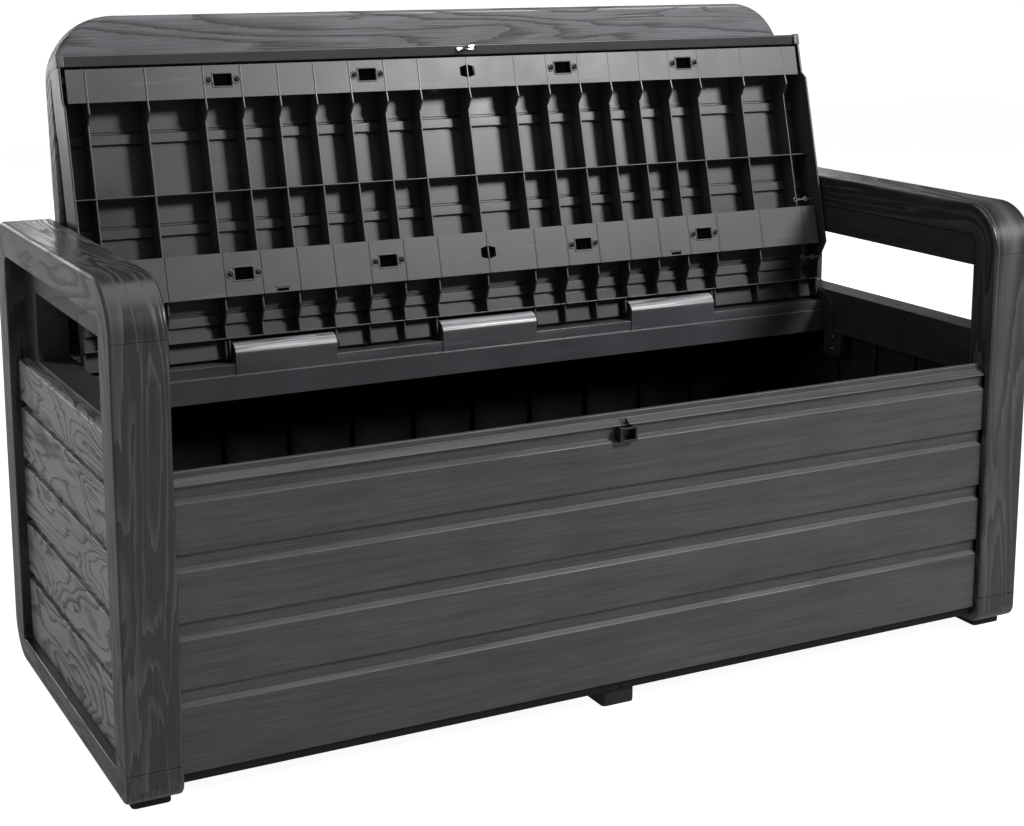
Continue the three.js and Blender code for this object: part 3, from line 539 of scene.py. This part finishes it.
# Rim and planks in one outline, each plank top a bevel down to the one above, carried along X.
def panelGrid(v):
    outline = [(v["back"], v["bottom"]), (v["back"], v["rim"], 1.5), (v["lip"], v["rim"], 1.5),
               (v["lip"], v["bevelTop"], 1), (v["face"], v["bevelFoot"], 1.4),
               (v["face"], v["bevelFoot"] - 1.5, 0.6), (v["low"], v["bevelFoot"] - 1.5, 1)]
    for top, bottom in zip(v["tops"], (*v["bottoms"], None)):
        outline += [(v["low"], top, 0.8), (v["face"], top - v["plankBevel"], v["edge"])]
        if bottom:
            outline += [(v["face"], bottom, 1.2), (v["low"], bottom - v["under"], 0.8)]
    outline += [(v["face"], v["bottom"], 2)]
    ring = roundedOutline(outline, 4)
    step = 0.05
    halves = (v["slotHalf"], v["lockHalf"])
    inner = [s * (h + d) for s in (-1, 1) for h in halves for d in (-step, step)]
    between = np.array(sorted([*inner, *v["between"]]))
    at, inset = roundedEnds(-v["half"], v["half"], v["endRadius"], 4, between)

    # Inside the lock's width the plank's face gives way, and inside the slot's the rim's bevel does.
    def lift(x, flat):
        s, z = flat[..., 0], flat[..., 1]
        x = np.abs(x)
        low, high = v["lock"]
        inLock = (x < v["lockHalf"]) & (z > low) & (z < high) & (s < v["low"] + 0.1)
        inSlot = (x < v["slotHalf"]) & (z > high - 1) & (s < v["lip"] - 1)
        move = np.where(inLock, v["low"] + 1 - s, 0) + np.where(inSlot & ~inLock, v["lip"] - 1.5 - s, 0)
        return np.stack([move, np.zeros_like(move)], -1)

    grid = sweepOutline(ring, at, inset, lambda x, sz: toFrame(
        np.stack([x, sz[..., 0], sz[..., 1]], -1)), lift)
    row = np.searchsorted(np.array(v["bottoms"][::-1]) - 1, np.append(ring[:, 1], ring[0, 1]))
    shiftU, shiftV = v["uvRow"]
    grid["uv"] = grid["uv"] + np.stack([row * shiftU, row * shiftV], -1)[None]
    return grid


makePiece("frontPlanks", [panelGrid(panel)], panelPlastic, "root", ["front_panel"])
print("front panel made")


backRest = {"half": 612, "corner": 92, "foot": 4, "edge": 6, "shells": ((0, 30, 0), (30.3, 51, 3)),
            "slope": 0.09, "cornerSteps": 20}


# Rings of a rounded slab: the outline drawn in by each inset, at that ring's depth.
def slabGrid(half, height, corner, foot, rings, place, steps):
    points = []
    for inset, depth in rings:
        r, f = max(corner - inset, 1), max(foot - inset, 0.4)
        a, b = half - inset, height - inset
        outline = roundedOutline([(-a, inset, f), (a, inset, f), (a, b, r), (-a, b, r)], steps)
        points.append(np.stack([outline[:, 0], np.full(len(outline), depth), outline[:, 1]], -1))
    points = np.array(points)
    flat = np.concatenate([points, points[:, :1]], 1)
    uv = np.stack([flat[..., 0], flat[..., 2] + flat[..., 1]], -1) / 1000
    return {"points": place(points), "uv": uv}


# Two slabs that lean by a: depth = base + d cos a + h sin a, and height = base - d sin a + h cos a.
def backShells(v):
    lean = math.atan(v["slope"])
    low, high = (c * 1000 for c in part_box("backrest_front"))
    baseZ = low.z + v["shells"][0][1] * math.sin(lean)
    baseY = low.y - frontY
    tall = (high.z - baseZ) / math.cos(lean)

    def place(p):
        x, d, h = np.moveaxis(p, -1, 0)
        return toFrame(np.stack([x, baseY + d * math.cos(lean) + h * math.sin(lean),
                                 baseZ - d * math.sin(lean) + h * math.cos(lean)], -1))

    grids = []
    for d0, d1, inset in v["shells"]:
        bend = np.linspace(0, math.pi / 2, 5)
        edge, seam = v["edge"], 2.0
        front, back = (edge, seam) if inset == 0 else (seam, edge)
        rings = [(inset + 60, d0)]
        rings += [(inset + front * (1 - math.sin(a)), d0 + front * (1 - math.cos(a))) for a in bend]
        rings += [(inset + back * (1 - math.cos(a)), d1 - back * (1 - math.sin(a))) for a in bend]
        rings += [(inset + 60, d1)]
        grids.append(slabGrid(v["half"], tall, v["corner"], v["foot"], rings, place, v["cornerSteps"]))
    return grids


shells = backShells(backRest)
makePiece("backRest_front", shells[:1], backPlastic, "root", ["backrest_front"])
makePiece("backRest_rear", shells[1:], backPlastic, "root", ["backrest_rear"])
print("back rest made")


lid = {"half": 614, "top": 7.5, "skin": 3, "rear": 20.8, "length": 425.5, "lip": 15.5, "tip": -39,
       "lipSlope": 4.5, "ridges": (50, 181, 313), "ridgeHalf": 9, "ridgeRise": 4.2, "slitHalf": 2.4,
       "slitDepth": 2.0, "cells": (1.46, 1, 1, 1, 1, 1, 1, 1.507, 1.507, 0.594), "wall": 3, "rib": 2.4,
       "bands": ((78.5, 141), (359, 406)), "proud": 0.6, "ribTip": -29, "heel": (41, 60, -16),
       "toe": (330, 343, -42), "wallTip": -49, "wallHeel": (41, 52, -18, -23), "wallToe": (351, 362),
       "crossRibs": ((228, -29), (22, -14)), "tabReach": 6, "knuckleTip": -9, "tabWall": 3,
       "blockEdges": ((1, -1.6), (4, 1.8), (7, -9.8)), "tabClearance": 2.4,
       "windowsAt": (109.75, 384.5), "screwApart": 20.5}
lidUnit = (lid["half"] - lid["wall"]) / sum(lid["cells"])
ribsX = np.concatenate([[0], np.cumsum(lid["cells"][:-1])]) * lidUnit
lidUnder = lid["top"] - lid["skin"]


# A lid outline of (reach, height) points, carried along X between quarter-round ends.
def sweepX(outline, x0, x1, radius=0.6, steps=2, arc=3, between=()):
    ring = roundedOutline(outline, arc)
    at, inset = roundedEnds(x0, x1, radius, steps, between)
    return sweepOutline(ring, at, inset,
                        lambda x, uz: onLid(np.stack([x, uz[..., 0], uz[..., 1]], -1)))


# Skin and front lip in one outline: planks parted by grooves on top, ridges with slits underneath.
def lidSkinGrid(v):
    top, under = v["top"], lidUnder
    upper = []
    for r in v["ridges"]:
        h = v["ridgeHalf"] - 3
        upper += [(r - h, top, 1.5), (r - h + 2, top - v["ridgeRise"], 0.8),
                  (r + h - 2, top - v["ridgeRise"], 0.8), (r + h, top, 1.5)]
    lower = []
    for r in v["ridges"][::-1]:
        h, s = v["ridgeHalf"], v["slitHalf"]
        for edge, sign in ((r + h, 1), (r - h, -1)):
            out = [(edge + sign * s, under, 0.3), (edge + sign * s * 0.8, under + v["slitDepth"], 0),
                   (edge - sign * s * 0.2, under + v["slitDepth"], 0),
                   (edge - sign * s, under - v["ridgeRise"], 0.6)]
            lower += out if sign > 0 else out[::-1]
    lip = v["length"] - v["lip"]
    outline = [(v["rear"], top, 1), *upper, (v["length"], top, 5), (v["length"], v["tip"], 2),
               (lip, v["tip"] + v["lipSlope"], 1.6), (lip, under, 1.5), *lower, (v["rear"], under)]
    ring = roundedOutline(outline, 4)
    grid = sweepX(outline, -v["half"], v["half"], 1.5, 3, 4, np.linspace(-500, 500, 5))
    grid["slots"] = (ring[:, 1] > under + v["slitDepth"] + 0.5).astype(int)[None]
    return grid


# Side outline of a rib: a heel near the hinge, a toe by the front band, and just proud of both bands.
def ribOutline(v):
    (near0, near1), (far0, far1) = v["bands"]
    over, tip = v["tip"] - v["proud"], v["ribTip"]
    heel0, heel1, heelTip = v["heel"]
    toe0, toe1, toeTip = v["toe"]
    return [(far1 - 1, lidUnder + 1), (far1 - 1, over, 0.8), (far0, over), (toe1, toeTip, 2.5),
            (toe0, tip, 3), (near1 + 1, tip, 1), (near1 - 0.5, over, 0.8), (near0 + 0.5, over, 0.8),
            (near0 - 1, tip, 1), (heel1, tip, 5), (heel0, heelTip, 4), (v["rear"] + 1, heelTip),
            (v["rear"] + 1, lidUnder + 1)]


# Side outline of an end wall: deepest between the middle band and a step beside the front band.
def wallOutline(v):
    (near0, _), _ = v["bands"]
    heel0, heel1, tip0, tip1 = v["wallHeel"]
    toe0, toe1 = v["wallToe"]
    front = v["length"] - v["lip"] + 1
    return [(front, lidUnder + 1), (front, v["tip"]), (toe1, v["tip"] - 0.5, 2),
            (toe0, v["wallTip"], 4), (near0, v["wallTip"], 6), (heel1, tip1, 4), (heel0, tip0, 4),
            (v["rear"] + 1, v["heel"][2] + 2), (v["rear"] + 1, lidUnder + 1)]


# Upright ribs at each rib place and its mirror, the two end walls, and two low ribs across.
def lidRibGrids(v):
    grids = []
    for x in [*ribsX, *-ribsX[1:]]:
        grids.append(sweepX(ribOutline(v), x - v["rib"] / 2, x + v["rib"] / 2, 0.5, 2, 3))
    for side in (-1, 1):
        a, b = sorted((side * v["half"], side * (v["half"] - v["wall"])))
        grids.append(sweepX(wallOutline(v), a, b, 0.6, 2, 4))
    half = v["half"] - 1
    for u, tip in v["crossRibs"]:
        grids.append(sweepX([(u - 1.2, lidUnder + 1), (u + 1.2, lidUnder + 1), (u + 1, tip - 0.8, 0.7),
                             (u - 1, tip - 0.8, 0.7)], -half, half, 0.3))
    return grids


# Hinge tabs between the rail's blocks: the skin runs on, over round-ended walls that turn on the pin.
def lidTabGrids(v):
    centre, near, far = (ribsX[i] + past for i, past in v["blockEdges"])
    clear = v["tabClearance"]
    spans = [(centre + clear, near - clear), (far + clear, v["half"])]
    top, rear = v["top"], v["rear"] + 2
    nose = np.linspace(math.pi / 2, -math.pi / 2, 13)
    knuckle = [(rear, v["knuckleTip"]), (rear, lidUnder + 0.5), (0, lidUnder + 0.5)]
    knuckle += [(-top * math.cos(a), top * math.sin(a)) for a in nose
                if top * math.sin(a) < lidUnder + 0.4]
    reach = v["tabReach"]
    plate = [(-reach, lidUnder, 1.2), (rear, lidUnder), (rear, top), (-reach, top, 1.2)]
    grids = []
    for a, b in spans:
        inside = [x for x in ribsX if a + v["tabWall"] < x < b - v["tabWall"]]
        starts = [(a, v["tabWall"]), (b - v["tabWall"], v["tabWall"])]
        starts += [(x - v["rib"] / 2, v["rib"]) for x in inside]
        for side in (-1, 1):
            grids.append(sweepX(plate, *sorted((side * a, side * b)), 0.8))
            grids += [sweepX(knuckle, *sorted((side * x, side * (x + w))), 0.5) for x, w in starts]
    return grids


# Windows sit midway between two pairs of ribs on each side, with a screw at each end of each one.
windowCells = ((ribsX[2], ribsX[3]), (ribsX[6], ribsX[7]))
windowsX = [s * (a + b) / 2 for s in (-1, 1) for a, b in windowCells]
bandMiddles = lid["windowsAt"]
screwShifts = (-lid["screwApart"], lid["screwApart"])
screwsLid = np.array([(x + d, u) for u in bandMiddles for x in windowsX for d in screwShifts])


# A round post on the lid from one height to another, its outline a regular polygon.
def lidPost(x, u, radius, low, high, sides=16, edge=0.3):
    angle = np.linspace(0, 2 * math.pi, sides, endpoint=False)
    rows = [(radius - edge, low), (radius, low + edge), (radius, high - edge), (radius - edge, high)]
    points = np.array([np.stack([x + r * np.cos(angle), u + r * np.sin(angle), np.full(sides, h)], -1)
                       for r, h in rows])
    uv = np.zeros((len(rows), sides + 1, 2)) + np.array([x, u]) / 1000
    return {"points": onLid(points), "uv": uv}


makePiece("lidSkin", [lidSkinGrid(lid)], [lidPlastic, seatPlastic], "lid", ["lid_panel"])
makePiece("lidRibs", lidRibGrids(lid), lidPlastic, "lid")
makePiece("lidTabs", lidTabGrids(lid), lidPlastic, "lid")
makePiece("lidBosses", [lidPost(x, u, 4, lid["tip"] + 3.2, lidUnder + 1) for x, u in screwsLid],
          lidPlastic, "lid")
for end in ("front", "middle"):
    softenedCopy("lidBand_" + end, ["lid_band_" + end], bandPlastic, "lid", 0.7)


# A ring standing on a surface: rows of (radius, rise) turned round a point of the lid.
def lidRing(x, u, base, rows, sides=24):
    angle = np.linspace(0, 2 * math.pi, sides, endpoint=False)
    cos, sin = np.cos(angle), np.sin(angle)
    points = np.array([np.stack([x + r * cos, u + r * sin, np.full(sides, base - up)], -1)
                       for r, up in rows])
    return {"points": onLid(points), "uv": np.zeros((len(rows) + 1, sides + 1, 2)), "closed": True}


# Rows of (growth or radius, rise) for the strip round a window and the ring round a screw.
rims = {"window": (13.5, 8.5), "corner": 1.2,
        "strip": ((0.2, 0.0), (0.2, 0.8), (0.7, 1.1), (1.5, 1.1), (2.0, 0.8), (2.2, 0.0)),
        "ear": ((4.3, 0.0), (4.3, 0.9), (4.8, 1.2), (5.6, 1.2), (6.1, 0.9), (6.3, 0.0))}


# Raised rims: a rounded strip round each window, and a low ring round each screw.
def windowRims(t, base):
    grids, corner = [], t["corner"]
    for x, u in ((x, u) for u in bandMiddles for x in windowsX):
        rows = []
        for grow, up in t["strip"]:
            a, b = (half + grow for half in t["window"])
            ring = roundedOutline([(x - a, u - b, corner), (x + a, u - b, corner),
                                   (x + a, u + b, corner), (x - a, u + b, corner)], 3)
            rows.append(np.stack([ring[:, 0], ring[:, 1], np.full(len(ring), base - up)], -1))
        rows = np.array(rows)
        uv = np.zeros((len(rows) + 1, rows.shape[1] + 1, 2))
        grids.append({"points": onLid(rows), "uv": uv, "closed": True})
    return grids + [lidRing(x, u, base, t["ear"]) for x, u in screwsLid]


makePiece("windowRims", windowRims(rims, lid["tip"]), bandPlastic, "lid")


# Painted-shade plates: their rise and thickness, and their sizes behind windows, hexagons and two slots.
windowShadeSheets = {"rise": -33.2, "thick": 1.0, "window": (14.5, 9.5), "hexagon": (12.5, 10.5), "slotAt": 82.5,
           "slot": (9, 1.9), "slotX": (-329, 329)}


# Dark plates of painted shade behind the windows and hexagons, and in the mouths of two slots.
def shadeSheetGrids(v, t):
    def plate(x, u, half, low, thick):
        a, b = half
        high = low + thick
        outline = [(u - b, low), (u + b, low), (u + b, high), (u - b, high)]
        return sweepX(outline, x - a, x + a, 0.2)

    grids = [plate(x, u, t["window"], t["rise"], t["thick"]) for u in bandMiddles for x in windowsX]
    grids += [plate(0, u, t["hexagon"], t["rise"], t["thick"]) for u in bandMiddles]
    return grids + [plate(x, t["slotAt"], t["slot"], v["tip"] - 0.25, 0.6) for x in t["slotX"]]


# The painted-shade plates ride on the lid.
makePiece("lidShadeSheets", shadeSheetGrids(lid, windowShadeSheets), shadowPlastic, "lid")


trifles = {"ringsAt": (57, 153), "ringMiddle": 585, "ringApart": 9.5, "ringRise": -31,
           "ring": ((2.0, -2), (2.0, 1.6), (2.6, 2), (3.6, 2), (4.2, 1.6), (4.2, -2)),
           "barHalf": 1.2, "barTall": 3, "slotLip": (86, 88), "slotLipHeights": (-37, -40.4),
           "slotLipHalf": 11, "capReach": (409, 426.6), "capHeights": (-30, -40.2),
           "capEnds": (-9, 1.2)}


# Small things moulded on the lid: paired rings by the end walls, slots by the middle band, lip caps.
def lidTrifles(v, t):
    grids = []
    x, apart, rise = t["ringMiddle"], t["ringApart"], t["ringRise"]
    high, thick = rise + t["barTall"], t["barHalf"]
    for u in t["ringsAt"]:
        bar = [(u - thick, rise), (u + thick, rise), (u + thick, high), (u - thick, high)]
        grids.append(sweepX(bar, x - apart + 3, v["half"] - 1, 0.4))
        grids += [lidRing(x + d, u, rise + 2, t["ring"]) for d in (-apart, apart)]
    (lipTop, lipTip), (capTop, capTip) = t["slotLipHeights"], t["capHeights"]
    (near, far), (capNear, capFar) = t["slotLip"], t["capReach"]
    for side in (-1, 1):
        x, half = side * windowShadeSheets["slotX"][1], t["slotLipHalf"]
        lip = [(near, lipTop), (far, lipTop), (far, lipTip, 0.5), (near, lipTip, 0.5)]
        grids.append(sweepX(lip, x - half, x + half, 0.5))
        a, b = sorted(side * (v["half"] + past) for past in t["capEnds"])
        cap = [(capNear, capTop), (capNear, capTip, 1.5), (capFar, capTip, 2.5), (capFar, capTop, 2)]
        grids.append(sweepX(cap, a, b, 1.2))
    return grids


makePiece("lidTrifles", lidTrifles(lid, trifles), bandPlastic, "lid")
print("lid made")


rail = softenedCopy("hingeRail", ["hinge_rail"], [railPlastic, blockTopSheen], "root",
                    1.4, 3)
# The tops of the blocks take the much lighter grained plastic: painted sheen over real wood grain, on
# faces that look up, above the hinge axis.
for face in rail.data.polygons:
    face.material_index = int(face.normal.z > 0.2 and face.center.z > hinge["pos_m"][2] + 0.003)
# The bay's back and floor take the near-black painted shade.
softenedCopy("bayBack", ["back_panel"], bayShadePlastic, "root", 2.0)
for label in ("left", "right"):
    softenedCopy("bayFloor_" + label, ["floor_panel_" + label], bayShadePlastic, "root",
                 1.5)
    softenedCopy("railEnd_" + label, ["rail_end_plate_" + label], webPlastic, "root",
                 0.8)
    for end in ("front", "rear"):
        softenedCopy("cornerFoot_" + end + "_" + label, ["foot_" + end + "_" + label], rubber, "root",
                     2.0)
for end in ("front", "rear"):
    softenedCopy("middleFoot_" + end, ["foot_centre_" + end], rubber, "root", 2.0)
softenedCopy("lockBox", ["lock_housing"], lockPlastic, "root", 0.8)
softenedCopy("lockStaple", ["lid_lock_staple"], brightSteel, "lid", 0.45)
for node in nodes.values():
    if node["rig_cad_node"].startswith("hinge_pin"):
        node.data.materials.clear()
        node.data.materials.append(darkSteel)


screw = {"radius": 3.4, "height": 1.9, "dome": 1.25, "recess": 1.0, "barHalf": 0.42, "barReach": 0.62,
         "rings": (0.0, 0.3, 0.6, 0.9, 1.3, 1.8, 2.3, 2.8, 3.2, 3.4, 3.4)}


# A pan head with a cross recess: a dome of rings whose floor drops inside two crossed bars.
# Height = h sqrt(1 - (ring / (radius x dome)) squared), less the recess inside the bars.
def screwHead(t, centre, out, side):
    radius, height, bar = t["radius"], t["height"], t["barHalf"]
    rings = np.array(t["rings"])
    angle = np.linspace(0, 2 * math.pi, 32, endpoint=False)
    up = height * np.sqrt(np.clip(1 - (rings / (radius * t["dome"])) ** 2, 0, 1))
    up[-1] = 0
    rings[0] = 0.02
    a, b = rings[:, None] * np.cos(angle), rings[:, None] * np.sin(angle)
    cross = ((np.abs(a) < bar) | (np.abs(b) < bar)) & (np.hypot(a, b) < radius * t["barReach"])
    h = np.where(cross, up[:, None] - t["recess"], up[:, None])
    out, side = np.asarray(out, float), np.asarray(side, float)
    other = np.cross(out, side)
    points = centre + a[..., None] * side + b[..., None] * other + h[..., None] * out
    return points, np.zeros((len(rings), 33, 2))


def lidScrewGrids():
    found = []
    for x, u in screwsLid:
        points, uv = screwHead(screw, np.array([x, u, lid["tip"] + 0.2]), (0, 0, -1), (1, 0, 0))
        found.append({"points": onLid(points), "uv": uv})
    return found


def railScrewGrids(side):
    found = []
    for label in ("upper", "lower"):
        low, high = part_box(f"rail_screw_{label}_{'right' if side > 0 else 'left'}")
        centre = (low + high) * 500
        innerEnd = (low.x if side > 0 else high.x) * 1000
        seat = np.array([innerEnd + side * 1.6, centre.y - frontY, centre.z])
        points, uv = screwHead(screw, seat, (-side, 0, 0), (0, 1, 0))
        found.append({"points": toFrame(points), "uv": uv})
    return found


makePiece("lidScrews", lidScrewGrids(), dullSteel, "lid",
          [f"lid_screw_{i:02d}" for i in range(1, len(screwsLid) + 1)], 50)
for side, label in ((1, "right"), (-1, "left")):
    makePiece("railScrews_" + label, railScrewGrids(side), brightSteel, "root",
              ["rail_screw_upper_" + label, "rail_screw_lower_" + label], 50)
print("rail, bay and small parts made")


# A strength that is one value to the camera and another, smaller one as light on the bench.
def splitByCamera(tree, glow, seen, socket):
    looked = addNode(tree, "ShaderNodeLightPath").outputs["Is Camera Ray"]
    strength = addNode(tree, "ShaderNodeMapRange", {0: looked, 3: glow, 4: seen})
    tree.links.new(strength.outputs[0], socket)


studio = {"floor": 14, "floorTone": "#9a9a9a", "floorSeen": 0.95, "floorGlow": 0.25, "sky": 0.075,
          "backdrop": 1.05,
          "lamps": {"key": ((1.9, -2.6, 2.6), 0.8, 138), "top": ((0.3, -0.3, 3.2), 2.4, 38),
                    "left": ((-3.3, -0.6, 2.0), 1.6, 12),
                    "rearRight": ((1.8, 4.2, 1.3), 3.0, 90), "rearLeft": ((-1.8, 4.0, 1.5), 2.4, 45)}}
floorMesh = bpy.data.meshes.new("floor")
reach = studio["floor"] / 2
floorMesh.from_pydata([(-reach, -reach, 0), (reach, -reach, 0), (reach, reach, 0), (-reach, reach, 0)],
                      [], [(0, 1, 2, 3)])
floorObject = bpy.data.objects.new("floor", floorMesh)
bpy.context.scene.collection.objects.link(floorObject)
floorMaterial = bpy.data.materials.new("paleFloor")
floorMaterial.use_nodes = True
floorShader = floorMaterial.node_tree.nodes["Principled BSDF"]
floorShader.inputs["Base Color"].default_value = linear(studio["floorTone"])
floorShader.inputs["Roughness"].default_value = 0.9
floorShader.inputs["Emission Color"].default_value = (1, 1, 1, 1)
# The floor looks white, and lights the bench only a little.
splitByCamera(floorMaterial.node_tree, studio["floorGlow"], studio["floorSeen"],
              floorShader.inputs["Emission Strength"])
floorMesh.materials.append(floorMaterial)

world = bpy.data.worlds.new("studio")
bpy.context.scene.world = world
world.use_nodes = True
# The backdrop is white where it is looked at, and only a soft fill where it lights the bench.
sky = world.node_tree.nodes["Background"]
sky.inputs["Color"].default_value = (1, 1, 1, 1)
splitByCamera(world.node_tree, studio["sky"], studio["backdrop"], sky.inputs["Strength"])
for name, (place, size, power) in studio["lamps"].items():
    data = bpy.data.lights.new(name, "AREA")
    data.size, data.energy = size, power
    lamp = bpy.data.objects.new(name, data)
    lamp.location = place
    lamp.rotation_euler = (Vector((0, 0, 0.45)) - Vector(place)).to_track_quat("-Z", "Y").to_euler()
    bpy.context.scene.collection.objects.link(lamp)

view = {"place": (-1.2258, -2.3133, 1.0305), "turn": 27.529, "down": 10.81, "lens": 64.75, "rise": -0.12}
cameraData = bpy.data.cameras.new("camera")
cameraData.lens, cameraData.sensor_width, cameraData.shift_y = view["lens"], 36, view["rise"]
cameraData.dof.use_dof = False
camera = bpy.data.objects.new("camera", cameraData)
camera.location = view["place"]
camera.rotation_euler = (math.radians(90 - view["down"]), 0, -math.radians(view["turn"]))
bpy.context.scene.collection.objects.link(camera)
bpy.context.scene.camera = camera
bpy.context.scene.view_settings.view_transform = "Standard"

print("scene ready")
